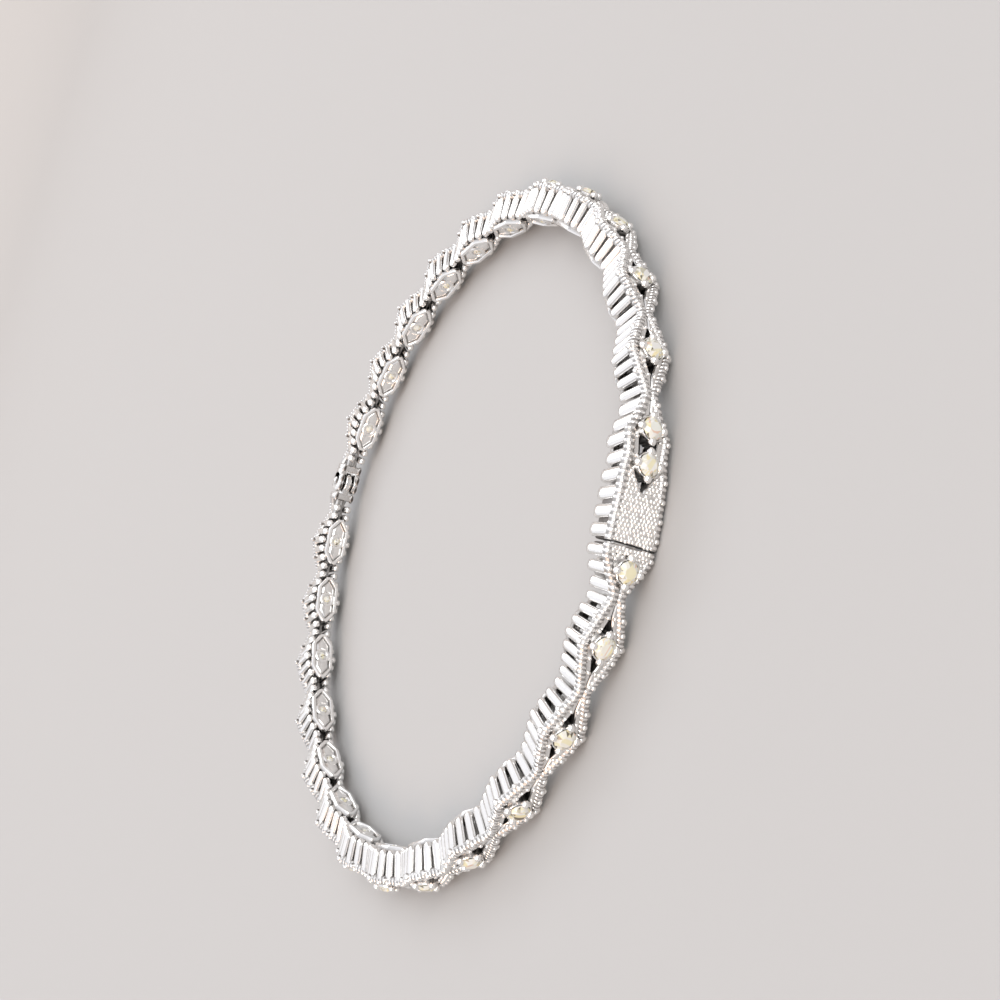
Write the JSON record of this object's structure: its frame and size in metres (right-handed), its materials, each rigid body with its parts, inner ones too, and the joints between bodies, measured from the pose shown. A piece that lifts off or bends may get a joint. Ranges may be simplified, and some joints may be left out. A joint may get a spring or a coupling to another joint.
{
  "type": "hinged bangle",
  "caption": "Narrow rigid hinged bangle of openwork lozenge links set with round clear stones, with a box clasp opposite its hinge; worn on the wrist.",
  "frame": {"origin": "centre of the hoop, on the surface that it lies on", "axes": "+Z is the hoop's axis, -Y points at the clasp, +Y at the hinge, +X at the half with the clasp box"},
  "size_m": [0.0618, 0.0593, 0.0043],
  "materials": {
    "silver": "polished white silver, rhodium bright",
    "clear_stone": "faceted and polished"
  },
  "bodies": {
    "box_half": {"box_half": "silver", "hinge_pin": "silver", "stone_15": "clear_stone", "stone_16": "clear_stone", "stone_17": "clear_stone", "stone_18": "clear_stone", "stone_19": "clear_stone", "stone_20": "clear_stone", "stone_21": "clear_stone", "stone_22": "clear_stone", "stone_23": "clear_stone", "stone_24": "clear_stone", "stone_25": "clear_stone", "stone_26": "clear_stone", "stone_27": "clear_stone"},
    "tongue_half": {"tongue_half": "silver", "stone_01": "clear_stone", "stone_02": "clear_stone", "stone_03": "clear_stone", "stone_04": "clear_stone", "stone_05": "clear_stone", "stone_06": "clear_stone", "stone_07": "clear_stone", "stone_08": "clear_stone", "stone_09": "clear_stone", "stone_10": "clear_stone", "stone_11": "clear_stone", "stone_12": "clear_stone", "stone_13": "clear_stone", "stone_14": "clear_stone"}
  },
  "joints": [
    {"name": "hinge", "type": "hinge", "parent": "box_half", "child": "tongue_half", "pos_m": [0.00312, 0.02789, 0.00215], "axis": [0, 0, -1], "range_deg": [0, 60]}
  ]
}
